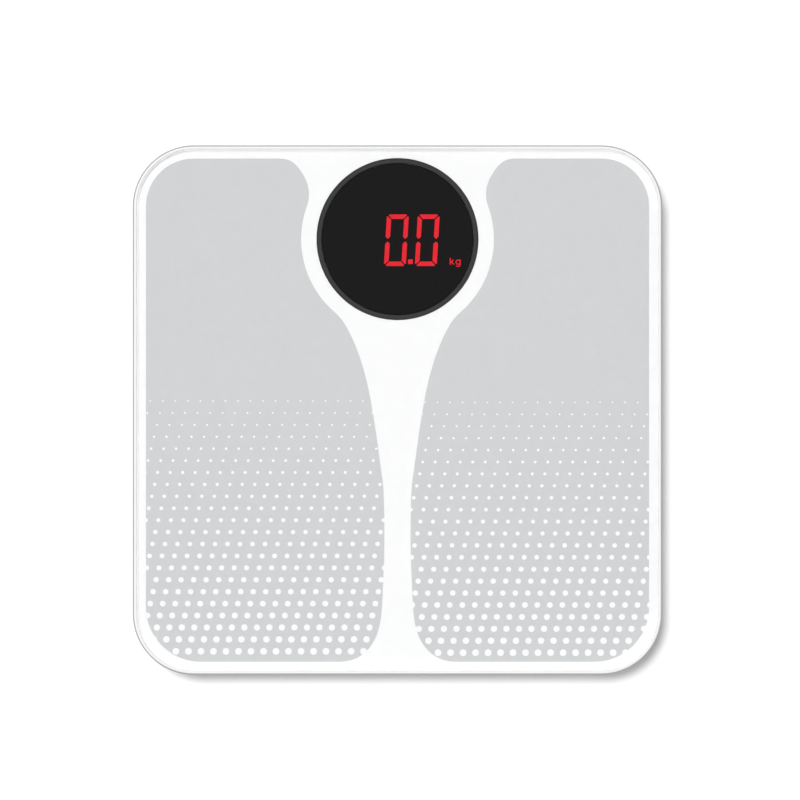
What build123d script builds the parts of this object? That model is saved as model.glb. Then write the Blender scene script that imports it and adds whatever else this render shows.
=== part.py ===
from build123d import *
import os
from math import atan2, cos, degrees, dist, pi, sin, sqrt

# Digital bathroom scale: a glass platform let into a moulded tray that stands on four load-cell feet.
# Millimetres, +Z up, +Y away from the user, origin on the floor under the middle of the tray.

# Tray
tray_width = 300.0
tray_depth = 300.0
corner_radius = 34.7
belly_radius = 7.0
lip_thickness = 2.0
lip_radius = 0.6
lip_rise = 0.3
trim_thickness = 0.75
trim_height = 9.0
trim_drop = 1.0
trim_radius = 0.3
ledge_width = 4.0
floor_thickness = 2.0
floor_clearance = 4.5
rib_thickness = 1.6
rib_pitch = 40.0
label_width = 60.0
label_depth = 34.0
label_sink = 0.4
label_y = -70.0
label_corner = 3.0

# Glass platform and what is printed behind it
glass_thickness = 5.0
glass_edge_gap = 0.4
glass_air_gap = 0.1
glass_arris = 0.8
glass_back_arris = 0.4
film_thickness = 0.3
film_edge_gap = 0.5
ink_thickness = 0.15
tape_thickness = 0.8
tape_width = 3.0

# Foot zones, drawn for the left one; the right one is its mirror image
zone_margin = 7.3
zone_rear_corner = 27.2
zone_front_corner = 31.0
zone_clear_radius = 54.7
shoulder_run = 66.7
shoulder_bend = 55.1
shoulder_bend_drop = 6.8
shoulder_reach = 50.2
shoulder_drop = 20.5
hip_rise = 15.0
hip_drop = 41.5
knee_reach = 25.6
knee_below_display = 56.4
waist_reach = 15.9
waist_below_display = 88.0
calf_reach = 9.3
calf_below_display = 131.0
heel_reach = 7.45
heel_rise = 68.7
ball_reach = 8.5
ball_rise = 37.0
toe_reach = 12.0
toe_rise = 14.6
zone_front_run = 33.0

# Display
display_from_rear = 53.0
ring_radius = 45.9
ring_width = 2.8
window_gap = 0.1
digit_height = 29.2
digit_width = 12.4
digit_pitch = 17.5
digit_slant = 0.06
digit_x = -0.62
digit_y = -0.62
digit_count = 2
stroke = 2.5
segment_corner = 1.3
segment_gap = 0.5
segment_waist_gap = 0.75
segment_fit = 0.05
point_size = 2.6
point_x = 7.35
point_y = -12.8
gasket_thickness = 0.65
gasket_bar = 2.5
led_length = 1.6
led_width = 0.8
led_height = 0.6
led_air = 0.6

# Main board
board_width = 84.0
board_depth = 50.0
board_thickness = 1.6
board_standoff = 2.9
board_corner = 2.0
boss_inset = 3.0
boss_radius = 3.0
screw_radius = 0.95
screw_head_radius = 2.0
screw_head_height = 1.4
screw_length = 4.2
screw_slot_width = 0.5
screw_slot_depth = 0.6
screw_gap = 0.05
board_hole_gap = 0.25
header_depth = 3.4
header_length = 6.2
header_height = 4.0
header_gap = 0.3
header_spread = 16.5
module_depth = 38.0
chip_size = 10.0
chip_height = 1.2
chip_x = 12.0
chip_leg_length = 1.0
chip_leg_width = 0.3
chip_leg_pitch = 0.8
chip_leg_count = 11
chip_leg_height = 0.2
component_length = 2.0
component_width = 1.2
component_height = 0.7
component_pitch = 4.0
component_count = 6
component_row_y = -12.0

# Unit button
button_x = -30.0
button_from_display = -15.0
button_radius = 4.0
button_hole_gap = 0.25
button_recess = 0.2
button_flange = 1.2
button_flange_thickness = 0.55
button_flange_gap = 0.05
button_edge = 0.4
button_travel = 0.5
switch_size = 6.2
switch_height = 1.6
plunger_radius = 1.65
plunger_gap = 0.06
switch_roof = 0.4
collar_gap = 0.4
collar_wall = 1.4
collar_height = 1.4

# Batteries, their bay and its door
battery_diameter = 10.5
battery_length = 44.5
battery_nub_radius = 1.9
battery_nub_length = 1.2
battery_edge = 0.5
battery_gap = 0.15
battery_side_gap = 0.4
bay_y = 10.0
bay_wall = 3.4
bay_roof = 1.05
contact_thickness = 0.4
contact_width = 8.5
contact_height = 7.6
contact_gap = 0.05
tab_width = 3.0
tab_reach = 2.4
tab_slot_gap = 0.2
spring_length = 4.4
spring_wire = 0.3
spring_base = 3.4
spring_tip = 2.2
spring_turns = 3.5
spring_knots_per_turn = 4
spring_points_per_turn = 48
door_lap = 2.0
door_gap = 0.3
door_top_gap = 0.1
barrel_radius = 1.4
pin_radius = 0.8
pin_gap = 0.05
pin_length = 3.4
lug_thickness = 4.0
lug_wall = 1.6
latch_width = 12.0
latch_length = 8.0
latch_slot = 0.8
latch_bead = 0.2
latch_bead_length = 8.0
grip_count = 3
grip_pitch = 2.0
grip_width = 0.8
grip_depth = 0.4
grip_length = 9.0
grip_inset = 1.8
finger_radius = 9.0
finger_depth = 1.2

# Feet
foot_radius = 23.0
foot_hole_gap = 0.5
foot_travel = 0.6
cap_wall = 2.4
cap_floor = 2.4
cap_edge = 0.8
flange_width = 2.2
flange_thickness = 1.5
flange_gap = 0.25
pad_radius = 19.0
pad_thickness = 2.0
pad_recess = 0.8
pad_edge = 0.4
pad_fit = 0.1
pad_groove_width = 1.2
pad_groove_depth = 0.6
pad_groove_pitch = 4.5
pad_groove_count = 3
load_cell_size = 31.0
load_cell_corner = 4.5
load_cell_thickness = 2.4
load_cell_frame = 5.0
tongue_width = 11.0
tongue_slot = 2.5
press_radius = 4.0
press_height = 0.8
press_post_radius = 4.5
pocket_gap = 0.2
pocket_depth = 1.2
gauge_width = 7.0
gauge_length = 4.8
gauge_height = 1.6
well_gap = 0.8
well_wall = 2.4
well_roof = 2.4
well_margin = 2.6
well_rib_drop = 5.0

# Wires
wire_radius = 0.45
wire_pitch = 1.1
wire_count = 3
wire_clearance = 0.3
wire_end_gap = 0.05
wire_turn_radius = 14.0
wire_jog_radius = 8.0
lane_gap = 4.6
lane_room = 1.2
rise_run = 14.0
rise_end = 6.0
lead_spacing = 1.6
lead_lane = 4.4
lead_turn_radius = 3.0
lead_header_x = 26.0
lead_header_length = 5.0
guide_length = 4.0
guide_wall = 1.2
guide_gap = 0.1
guide_count = 3
guide_margin = 16.0
notch_room = 0.7

# Heights that follow from the sizes above
tray_floor = floor_clearance + floor_thickness
battery_axis = tray_floor + battery_gap + battery_diameter / 2
bay_ceiling = battery_axis + battery_diameter / 2 + battery_gap
ledge_top = bay_ceiling + bay_roof
film_base = ledge_top + tape_thickness
film_top = film_base + film_thickness
print_top = film_top + ink_thickness
glass_base = print_top + glass_air_gap
glass_top = glass_base + glass_thickness
lip_top = glass_top + lip_rise
trim_top = lip_top - trim_drop
trim_base = trim_top - trim_height
board_base = tray_floor + board_standoff
board_top = board_base + board_thickness
gasket_base = film_base - gasket_thickness
cap_base = pad_thickness - pad_recess
load_cell_base = pad_thickness + cap_floor
load_cell_top = load_cell_base + load_cell_thickness
press_top = load_cell_top + press_height
flange_base = tray_floor + flange_gap
flange_top = flange_base + flange_thickness
wire_z = load_cell_top + foot_travel + wire_clearance + wire_radius
header_z = board_top + header_height / 2
door_top = tray_floor - door_top_gap
hinge_z = floor_clearance + barrel_radius
button_base = floor_clearance + button_recess
button_flange_base = tray_floor + button_flange_gap
button_top = button_flange_base + button_flange_thickness
switch_base = board_base - switch_height

# Places in plan that follow from the sizes above
pocket_inset = lip_thickness
cavity_inset = lip_thickness + ledge_width
well_inner = foot_radius + flange_width + well_gap
well_outer = well_inner + well_wall
foot_x = tray_width / 2 - cavity_inset - well_margin - well_outer
foot_y = tray_depth / 2 - cavity_inset - well_margin - well_outer
display_y = tray_depth / 2 - display_from_rear
window_radius = ring_radius - ring_width
button_y = display_y + button_from_display
battery_pitch = battery_diameter + battery_side_gap
bay_length = battery_length + spring_length + 2 * contact_thickness + 2 * contact_gap
bay_depth = 2 * battery_diameter + 3 * battery_side_gap
bay_end = bay_length / 2
bay_front = bay_y - bay_depth / 2
bay_rear = bay_y + bay_depth / 2
hinge_y = bay_front - bay_wall - door_gap - barrel_radius
door_end = bay_end + door_lap
door_rear = bay_rear + door_lap
lug_end = door_end + door_gap + lug_thickness
tab_end = bay_end + bay_wall + tab_reach
gauge_rear = load_cell_size / 2 - load_cell_frame
gauge_front = gauge_rear - gauge_length
wire_start = gauge_rear + wire_end_gap
lane_y = foot_y - well_outer - lane_gap
header_face = board_width / 2 - header_gap
rise_top_x = board_width / 2 + rise_end
rise_foot_x = rise_top_x + rise_run
module_width = board_width - 2 * (header_depth + 2 * header_gap)
wire_bundle = wire_pitch * (wire_count - 1) + 2 * wire_radius
notch_width = wire_bundle + 2 * notch_room
lead_x = tab_end + lead_lane
rise_radii = [wire_jog_radius, wire_jog_radius]
turn_radii = [wire_turn_radius] + rise_radii
lead_radii = [lead_turn_radius] + rise_radii
overcut = 1.0

feet = {
    "front_left": (-foot_x, -foot_y, 0),
    "front_right": (foot_x, -foot_y, 0),
    "rear_left": (-foot_x, foot_y, -90),
    "rear_right": (foot_x, foot_y, 90),
}


# Basic shapes


def slab(sketch, low, high):
    """A flat outline raised between two heights."""
    return extrude(Pos(0, 0, low) * sketch, high - low)


def disc(radius, low, high):
    """An upright cylinder on the Z axis."""
    return slab(Circle(radius), low, high)


def block(x_low, x_high, y_low, y_high, z_low, z_high):
    """A box given by its two corners."""
    middle = Pos((x_low + x_high) / 2, (y_low + y_high) / 2, (z_low + z_high) / 2)
    return middle * Box(x_high - x_low, y_high - y_low, z_high - z_low)


def rod(radius, x_low, x_high, y, z):
    """A cylinder along X."""
    return Pos((x_low + x_high) / 2, y, z) * Rot(0, 90, 0) * Cylinder(radius, x_high - x_low)


def tray_outline(inset):
    """The tray's rounded square, drawn in by an inset."""
    return RectangleRounded(tray_width - 2 * inset, tray_depth - 2 * inset, corner_radius - inset)


def at_foot(name):
    """The place and turn of a foot, with its wires leaving along the foot's own +Y."""
    x, y, turn = feet[name]
    return Pos(x, y, 0) * Rot(0, 0, turn)


# Wires


def heading(start, end):
    """The direction in plan from one point to another."""
    return atan2(end[1] - start[1], end[0] - start[0])


def bend_at(points, index):
    """The middle direction in plan at a point of a route, and how far the route turns left there."""
    last = len(points) - 1
    out = heading(points[min(index, last - 1)], points[min(index + 1, last)])
    into = heading(points[max(index - 1, 0)], points[max(index, 1)])
    turn = (out - into + pi) % (2 * pi) - pi
    return into + turn / 2, turn


def shifted_route(points, shift):
    """A route moved sideways in plan, with its runs kept parallel to the first route's."""
    moved = []
    for index, (x, y, z) in enumerate(points):
        middle, turn = bend_at(points, index)
        reach = shift / cos(turn / 2)
        moved.append((x - reach * sin(middle), y + reach * cos(middle), z))
    return moved


def wire(points, radii):
    """A round wire along straight runs joined by tangent arcs."""
    path = FilletPolyline(*points, radius=radii)
    section = Plane(origin=path @ 0, z_dir=path % 0) * Circle(wire_radius)
    return sweep(section, path=path)


def front_route(side):
    """From a front foot back along the tray's side, then in to the board."""
    return [
        (side * foot_x, -foot_y + wire_start, wire_z),
        (side * foot_x, lane_y, wire_z),
        (side * rise_foot_x, lane_y, wire_z),
        (side * rise_top_x, display_y - header_spread, header_z),
        (side * (header_face + wire_end_gap), display_y - header_spread, header_z),
    ]


def rear_route(side):
    """From a rear foot straight in to the board."""
    return [
        (side * (foot_x - wire_start), foot_y, wire_z),
        (side * rise_foot_x, foot_y, wire_z),
        (side * rise_top_x, display_y + header_spread, header_z),
        (side * (header_face + wire_end_gap), display_y + header_spread, header_z),
    ]


def wire_shifts(count, pitch):
    """Sideways places of wires that lie side by side."""
    return [(index - (count - 1) / 2) * pitch for index in range(count)]


def load_cell_wires(route, radii):
    """The wires of one load cell, side by side."""
    return [wire(shifted_route(route, shift), radii) for shift in wire_shifts(wire_count, wire_pitch)]


def lead_route(shift, tab_y):
    """From a battery contact's tab to the battery header at the board's front edge."""
    board_front = display_y - board_depth / 2
    return [
        (tab_end + wire_end_gap, tab_y, wire_z),
        (lead_x + shift, tab_y, wire_z),
        (lead_x + shift, board_front - rise_end - rise_run, wire_z),
        (lead_header_x + shift, board_front - rise_end, header_z),
        (lead_header_x + shift, board_front + header_gap - wire_end_gap, header_z),
    ]


def lane_top(points):
    """The top of the room over wires that pass some points."""
    return max(point[2] for point in points) + wire_radius + lane_room


def run_cut(start, end, width):
    """Room for wires along a straight run."""
    half = (dist(start[:2], end[:2]) + width) / 2
    run = block(-half, half, -width / 2, width / 2, tray_floor, lane_top((start, end)))
    middle = Pos((start[0] + end[0]) / 2, (start[1] + end[1]) / 2, 0)
    return middle * Rot(0, 0, degrees(heading(start, end))) * run


def bend_cut(route, index, radius, width):
    """Room for wires inside a bend, from its corner in to the line between the ends of its arc."""
    middle, turn = bend_at(route, index)
    half = radius * abs(sin(turn / 2)) + width / 2
    depth = radius * sin(turn / 2) ** 2 / cos(turn / 2) + width / 2
    bend = block(-half, half, -width / 2, depth, tray_floor, lane_top(route[index - 1:index + 2]))
    bend = bend if turn > 0 else mirror(bend, Plane.XZ)
    return Pos(route[index][0], route[index][1], 0) * Rot(0, 0, degrees(middle)) * bend


def lane_cut(route, radii, width):
    """Room for wires along a route and inside its bends."""
    room = Part()
    for start, end in zip(route, route[1:]):
        room += run_cut(start, end, width)
    for index, radius in enumerate(radii, start=1):
        room += bend_cut(route, index, radius, width)
    return room


def wire_guide(width):
    """A moulded saddle that carries wires running along its own Y."""
    seat = wire_z - wire_radius - guide_gap
    outer = width / 2 + guide_gap + guide_wall
    half = guide_length / 2
    body = block(-outer, outer, -half, half, tray_floor - overcut, wire_z)
    return body - block(-width / 2 - guide_gap, width / 2 + guide_gap, -half, half, seat, wire_z)


def wire_guides():
    """Saddles spaced along the side lanes, the cross lanes and the battery leads."""
    guides = Part()
    first = -foot_y + well_outer + guide_margin
    step = (lane_y - wire_turn_radius - guide_margin / 2 - first) / (guide_count - 1)
    cross_x = (foot_x - well_outer + rise_foot_x) / 2
    for side in (-1, 1):
        for index in range(guide_count):
            guides += Pos(side * foot_x, first + index * step, 0) * wire_guide(wire_bundle)
        for y in (lane_y, foot_y):
            guides += Pos(side * cross_x, y, 0) * Rot(0, 0, 90) * wire_guide(wire_bundle)
    lead_y = bay_rear + guide_margin / 2
    return guides + Pos(lead_x, lead_y, 0) * wire_guide(lead_spacing + 2 * wire_radius)


# Tray


def tray_shell():
    """The outer shell with its seat for the trim, the lip, the pocket for the glass and the hollow below."""
    shell = slab(tray_outline(0), floor_clearance, trim_base)
    shell = fillet(shell.edges().group_by(Axis.Z)[0], belly_radius)
    lip = slab(tray_outline(trim_thickness), trim_base, lip_top)
    shell += fillet(lip.edges().group_by(Axis.Z)[-1], lip_radius)
    shell -= slab(tray_outline(pocket_inset), ledge_top, lip_top)
    return shell - slab(tray_outline(cavity_inset), tray_floor, ledge_top)


def foot_well():
    """The round tower over a foot, with the post that presses on the load cell."""
    roof_base = ledge_top - well_roof
    base = tray_floor - overcut
    well = disc(well_outer, base, ledge_top) - disc(well_inner, base, roof_base)
    well += disc(press_post_radius, press_top, roof_base)
    half = rib_thickness / 2
    rib_base = roof_base - well_rib_drop
    well += block(-well_inner, well_inner, -half, half, rib_base, roof_base)
    well += block(-half, half, -well_inner, well_inner, rib_base, roof_base)
    notch_top = wire_z + wire_radius + notch_room
    half = notch_width / 2
    return well - block(-half, half, well_inner - overcut, well_outer + overcut, tray_floor, notch_top)


def battery_bay():
    """The box round the batteries, open at the bottom, with slots for the two contact tabs."""
    bay = block(-bay_end - bay_wall, bay_end + bay_wall, bay_front - bay_wall, bay_rear + bay_wall,
                tray_floor - overcut, ledge_top)
    half = tab_width / 2 + tab_slot_gap
    rise = contact_thickness / 2 + tab_slot_gap
    for tab_y in contact_rows():
        bay -= block(bay_end, bay_end + bay_wall, tab_y - half, tab_y + half, wire_z - rise, wire_z + rise)
    return bay


def contact_rows():
    """Y of the two rows of batteries, the rear row first."""
    return (bay_y + battery_pitch / 2, bay_y - battery_pitch / 2)


def hinge_lugs():
    """Two blocks beside the door that carry its hinge pins."""
    half = pin_radius + pin_gap + lug_wall
    start = door_end + door_gap
    lug = block(start, lug_end, hinge_y - half, hinge_y + half, tray_floor - overcut, hinge_z + half)
    return lug + mirror(lug, Plane.YZ)


def door_cut():
    """The opening in the tray floor for the battery door, and the bores for its pins."""
    room = block(-door_end - door_gap, door_end + door_gap, hinge_y - barrel_radius - door_gap,
                 door_rear + door_gap, floor_clearance - overcut, tray_floor)
    room += block(-bay_end, bay_end, bay_front, bay_rear, tray_floor - overcut, bay_ceiling)
    return room + rod(pin_radius + pin_gap, -lug_end - overcut, lug_end + overcut, hinge_y, hinge_z)


def board_bosses():
    """Four posts that carry the main board, with pilot holes for its screws."""
    post = disc(boss_radius, tray_floor - overcut, board_base)
    post -= disc(screw_radius + screw_gap, board_top - screw_length, board_base)
    return sum((Pos(x, y, 0) * post for x, y in boss_places()), Part())


def boss_places():
    """Plan places of the board's four screws."""
    reach_x = board_width / 2 - boss_inset
    reach_y = board_depth / 2 - boss_inset
    return [(x, display_y + y) for x in (-reach_x, reach_x) for y in (-reach_y, reach_y)]


def button_collar():
    """A low ring inside the tray that guides the unit button's flange."""
    inner = button_radius + button_flange + collar_gap
    ring = disc(inner + collar_wall, tray_floor - overcut, tray_floor + collar_height)
    return Pos(button_x, button_y, 0) * (ring - disc(inner, tray_floor - overcut, tray_floor + collar_height))


def rib_grid():
    """Crossing ribs on the tray floor, cleared round everything that is built between them."""
    reach_x = tray_width / 2 - cavity_inset
    reach_y = tray_depth / 2 - cavity_inset
    half = rib_thickness / 2
    top = ledge_top - tape_thickness
    ribs = Part()
    for side in (-1, 1):
        for index in range(int(reach_x / rib_pitch)):
            x = side * (index + 0.5) * rib_pitch
            ribs += block(x - half, x + half, -reach_y, reach_y, tray_floor - overcut, top)
        for index in range(int(reach_y / rib_pitch)):
            y = side * (index + 0.5) * rib_pitch
            ribs += block(-reach_x, reach_x, y - half, y + half, tray_floor - overcut, top)
    return (ribs & slab(tray_outline(lip_thickness), tray_floor - overcut, top)) - rib_room()


def rib_room():
    """What the ribs leave free: feet, battery bay, board, leads and wire lanes."""
    top = ledge_top + overcut
    board_x = board_width / 2 + rise_end / 2
    board_y = board_depth / 2 + rise_end / 2
    room = block(-board_x, board_x, display_y - board_y, display_y + board_y, tray_floor, top)
    room += block(-bay_end, bay_end, bay_front, bay_rear, tray_floor - overcut, top)
    hinge_room = barrel_radius + door_gap
    room += block(-door_end - door_gap, door_end + door_gap, hinge_y - hinge_room, bay_front,
                  tray_floor - overcut, top)
    for name in feet:
        room += at_foot(name) * disc(well_inner, tray_floor - overcut, top)
    lane_width = wire_bundle + 2 * lane_room
    for side in (-1, 1):
        room += lane_cut(front_route(side), turn_radii, lane_width)
        room += lane_cut(rear_route(side), rise_radii, lane_width)
    lead_width = lead_spacing + 2 * (wire_radius + lane_room)
    return room + lane_cut(lead_route(0, bay_y), lead_radii, lead_width)


def base_tray():
    """The whole moulded tray, with its openings for feet, door and button."""
    tray = tray_shell() + battery_bay() + hinge_lugs() + board_bosses() + button_collar()
    for name in feet:
        tray += at_foot(name) * foot_well()
    tray += rib_grid()
    tray += wire_guides()
    tray -= door_cut()
    under = floor_clearance - overcut
    for name in feet:
        tray -= at_foot(name) * disc(foot_radius + foot_hole_gap, under, tray_floor)
    tray -= Pos(button_x, button_y, 0) * disc(button_radius + button_hole_gap, under, tray_floor)
    tray -= Pos(0, door_rear + door_gap, 0) * disc(finger_radius, under, floor_clearance + finger_depth)
    label = RectangleRounded(label_width, label_depth, label_corner)
    return tray - Pos(0, label_y, 0) * slab(label, under, floor_clearance + label_sink)


def edge_trim():
    """The grey trim that is clipped round the tray's side, just below the lip."""
    trim = slab(tray_outline(0), trim_base, trim_top)
    trim = fillet(trim.edges().group_by(Axis.Z)[-1], trim_radius)
    return trim - slab(tray_outline(trim_thickness), trim_base, trim_top)


# Glass and print


def glass_platform():
    """The clear plate, with polished edges."""
    glass = slab(tray_outline(pocket_inset + glass_edge_gap), glass_base, glass_top)
    glass = fillet(glass.edges().group_by(Axis.Z)[-1], glass_arris)
    return fillet(glass.edges().group_by(Axis.Z)[0], glass_back_arris)


def print_film():
    """The white film behind the glass, with a round hole for the display."""
    film = slab(tray_outline(pocket_inset + film_edge_gap), film_base, film_top)
    return film - Pos(0, display_y, 0) * disc(ring_radius + window_gap, film_base, film_top)


def mounting_tape():
    """Foam tape under the film: a ring on the ledge and a round pad on each foot's tower."""
    outer = pocket_inset + film_edge_gap
    ring = slab(tray_outline(outer), ledge_top, film_base)
    ring -= slab(tray_outline(outer + tape_width), ledge_top, film_base)
    pad = disc(well_inner, ledge_top, film_base)
    return [ring] + [at_foot(name) * pad for name in feet]


def zone_outline():
    """The left foot zone: straight outside, drawn in round the display and narrow at the waist."""
    outer = -tray_width / 2 + zone_margin
    rear = tray_depth / 2 - zone_margin
    front = -rear
    hip_top = (-sqrt(zone_clear_radius**2 - hip_rise**2), display_y + hip_rise)
    hip_side = (-zone_clear_radius, display_y)
    hip_foot = (-sqrt(zone_clear_radius**2 - hip_drop**2), display_y - hip_drop)
    shoulder_start = (-shoulder_run, rear)
    shoulder_middle = (-shoulder_bend, rear - shoulder_bend_drop)
    shoulder_side = (-shoulder_reach, rear - shoulder_drop)
    knee = (-knee_reach, display_y - knee_below_display)
    waist = (-waist_reach, display_y - waist_below_display)
    calf = (-calf_reach, display_y - calf_below_display)
    heel = (-heel_reach, front + heel_rise)
    ball = (-ball_reach, front + ball_rise)
    toe = (-toe_reach, front + toe_rise)
    front_start = (-zone_front_run, front)
    down = (0, -1)
    along_top = (1, 0)
    along_front = (-1, 0)
    into_hip = (-hip_rise, hip_top[0])
    out_of_hip = (hip_drop, hip_foot[0])
    edges = [
        Line((outer, rear), shoulder_start),
        Spline(shoulder_start, shoulder_middle, shoulder_side, tangents=(along_top, down)),
        Spline(shoulder_side, hip_top, tangents=(down, into_hip)),
        ThreePointArc(hip_top, hip_side, hip_foot),
        Spline(hip_foot, knee, waist, calf, heel, tangents=(out_of_hip, down)),
        Spline(heel, ball, toe, front_start, tangents=(down, along_front)),
        Line(front_start, (outer, front)),
        Line((outer, front), (outer, rear)),
    ]
    zone = make_face(edges)
    corners = zone.vertices().group_by(Axis.X)[0].sort_by(Axis.Y)
    zone = fillet(corners[0], zone_front_corner)
    rear_corner = zone.vertices().group_by(Axis.X)[0].sort_by(Axis.Y)[-1]
    return fillet(rear_corner, zone_rear_corner)


def foot_zone():
    """The left foot zone's ink on the film."""
    return slab(zone_outline(), film_top, print_top)


# Display


def segment_shapes():
    """The outlines of a slanted zero's six lit segments, about the digit's middle."""
    half_x = digit_width / 2
    half_y = digit_height / 2
    cut = segment_corner / 2
    bar = [
        (-half_x + segment_corner, half_y),
        (half_x - segment_corner, half_y),
        (half_x - cut - segment_gap, half_y - cut),
        (half_x - stroke - segment_gap, half_y - stroke),
        (-half_x + stroke + segment_gap, half_y - stroke),
        (-half_x + cut + segment_gap, half_y - cut),
    ]
    post = [
        (-half_x, half_y - segment_corner),
        (-half_x + cut, half_y - cut - segment_gap),
        (-half_x + stroke, half_y - stroke - segment_gap),
        (-half_x + stroke, segment_waist_gap + stroke / 2),
        (-half_x + stroke / 2, segment_waist_gap),
        (-half_x, segment_waist_gap + stroke / 2),
    ]
    shapes = [[(x, y * up) for x, y in bar] for up in (1, -1)]
    shapes += [[(x * out, y * up) for x, y in post] for out in (1, -1) for up in (1, -1)]
    return [[(x + digit_slant * y, y) for x, y in shape] for shape in shapes]


def lit_outlines():
    """Every lit outline of the display: the digits' segments and the decimal point."""
    outlines = []
    for digit in range(digit_count):
        move = Pos(digit_x + digit * digit_pitch, display_y + digit_y, 0)
        outlines += [move * make_face(Polyline(*shape, close=True)) for shape in segment_shapes()]
    point = Pos(point_x, display_y + point_y, 0) * Rectangle(point_size, point_size)
    return outlines + [point]


def widened(outline, gap):
    """An outline with clearance all round and its corners kept sharp."""
    return offset(outline, gap, kind=Kind.INTERSECTION)


def display_window():
    """The black window disc, cut through where a segment shows."""
    window = Pos(0, display_y, 0) * disc(window_radius - window_gap, film_base, print_top)
    for outline in lit_outlines():
        window -= slab(widened(outline, segment_fit), film_base, print_top)
    return window


def display_ring():
    """The dark ring round the window."""
    ring = disc(ring_radius, film_base, print_top) - disc(window_radius, film_base, print_top)
    return Pos(0, display_y, 0) * ring


def digit_segments():
    """The light guides of the lit segments, from above the LEDs to the face of the window."""
    base = board_top + led_height + led_air
    return [slab(outline, base, print_top) for outline in lit_outlines()]


def segment_leds():
    """One LED under each lit segment."""
    led = slab(Rectangle(led_length, led_width), board_top, board_top + led_height)
    middles = [outline.center() for outline in lit_outlines()]
    return [Pos(middle.X, middle.Y, 0) * led for middle in middles]


def led_module():
    """The block that keeps each segment's light to itself."""
    module = Pos(0, display_y, 0) * slab(Rectangle(module_width, module_depth), board_top, gasket_base)
    for outline in lit_outlines():
        module -= slab(widened(outline, segment_fit), board_top, gasket_base)
    return module


def light_gasket():
    """A foam frame between the module and the window."""
    frame = Rectangle(module_width, module_depth)
    frame -= Rectangle(module_width - 2 * gasket_bar, module_depth - 2 * gasket_bar)
    return Pos(0, display_y, 0) * slab(frame, gasket_base, film_base)


# Main board


def main_board():
    """The circuit board on its four posts."""
    outline = RectangleRounded(board_width, board_depth, board_corner)
    board = Pos(0, display_y, 0) * slab(outline, board_base, board_top)
    for x, y in boss_places():
        board -= Pos(x, y, 0) * disc(screw_radius + board_hole_gap, board_base, board_top)
    return board


def board_screws():
    """Four slotted screws."""
    head_top = board_top + screw_head_height
    screw = disc(screw_head_radius, board_top, head_top)
    screw += disc(screw_radius, board_top - screw_length, board_top)
    half = screw_slot_width / 2
    screw -= block(-screw_head_radius, screw_head_radius, -half, half, head_top - screw_slot_depth, head_top)
    return [Pos(x, y, 0) * screw for x, y in boss_places()]


def wire_headers():
    """Four load-cell headers at the board's ends and the battery header at its front edge."""
    headers = []
    high = board_top + header_height
    half = header_length / 2
    for side in (-1, 1):
        ends = sorted((side * header_face, side * (header_face - header_depth)))
        for y in (display_y - header_spread, display_y + header_spread):
            headers.append(block(*ends, y - half, y + half, board_top, high))
    front = display_y - board_depth / 2 + header_gap
    half = lead_header_length / 2
    lead_header = block(-half, half, front, front + header_depth, board_top, high)
    return headers + [Pos(lead_header_x, 0, 0) * lead_header]


def controller_chip():
    """The controller under the board, with a row of legs on each side."""
    half = chip_size / 2
    chip = block(-half, half, -half, half, board_base - chip_height, board_base)
    reach = half + chip_leg_length
    for index in range(chip_leg_count):
        x = (index - (chip_leg_count - 1) / 2) * chip_leg_pitch
        legs = block(x - chip_leg_width / 2, x + chip_leg_width / 2, -reach, reach,
                     board_base - chip_leg_height, board_base)
        chip += legs + Rot(0, 0, 90) * legs
    return Pos(chip_x, display_y, 0) * chip


def board_components():
    """A row of small parts under the board."""
    part = block(-component_length / 2, component_length / 2, -component_width / 2, component_width / 2,
                 board_base - component_height, board_base)
    row = []
    for index in range(component_count):
        x = chip_x + (index - (component_count - 1) / 2) * component_pitch
        row.append(Pos(x, display_y + component_row_y, 0) * part)
    return row


# Unit button


def unit_button():
    """The button cap, held in the tray floor by its flange."""
    cap = disc(button_radius, button_base, button_flange_base)
    cap = fillet(cap.edges().group_by(Axis.Z)[0], button_edge)
    cap += disc(button_radius + button_flange, button_flange_base, button_top)
    return Pos(button_x, button_y, 0) * cap


def tact_switch():
    """The switch under the board, with the bore that its plunger runs in."""
    half = switch_size / 2
    body = block(-half, half, -half, half, switch_base, board_base)
    body -= disc(plunger_radius + plunger_gap, switch_base, board_base - switch_roof)
    return Pos(button_x, button_y, 0) * body


def switch_plunger():
    """The plunger between button and switch."""
    plunger_top = board_base - switch_roof - button_travel - button_flange_gap
    return Pos(button_x, button_y, 0) * disc(plunger_radius, button_top, plunger_top)


# Batteries


def battery():
    """One AAA cell along X, its positive end at +X, centred on its length."""
    half = battery_length / 2
    can = rod(battery_diameter / 2, -half, half - battery_nub_length, 0, battery_axis)
    can = fillet(can.edges().filter_by(GeomType.CIRCLE), battery_edge)
    return can + rod(battery_nub_radius, half - battery_nub_length - battery_edge, half, 0, battery_axis)


def place_battery(row, turn):
    """A battery in its row, pushed against its positive contact."""
    shift = bay_end - contact_thickness - contact_gap - battery_length / 2
    return Pos(0, row, 0) * Rot(0, 0, turn) * Pos(shift, 0, 0) * battery()


def end_contact(row):
    """A contact plate at the bay's +X end with a tab through the wall."""
    low = wire_z - contact_thickness
    plate = block(bay_end - contact_thickness, bay_end, row - contact_width / 2, row + contact_width / 2,
                  low, low + contact_height)
    half = contact_thickness / 2
    tab = block(bay_end - contact_thickness, tab_end, row - tab_width / 2, row + tab_width / 2,
                wire_z - half, wire_z + half)
    return plate + tab


def bridge_contact():
    """The plate at the bay's -X end that joins the two batteries."""
    low = wire_z - contact_thickness
    reach = battery_pitch / 2 + contact_width / 2
    inner = -bay_end + contact_thickness
    return block(-bay_end, inner, bay_y - reach, bay_y + reach, low, low + contact_height)


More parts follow.
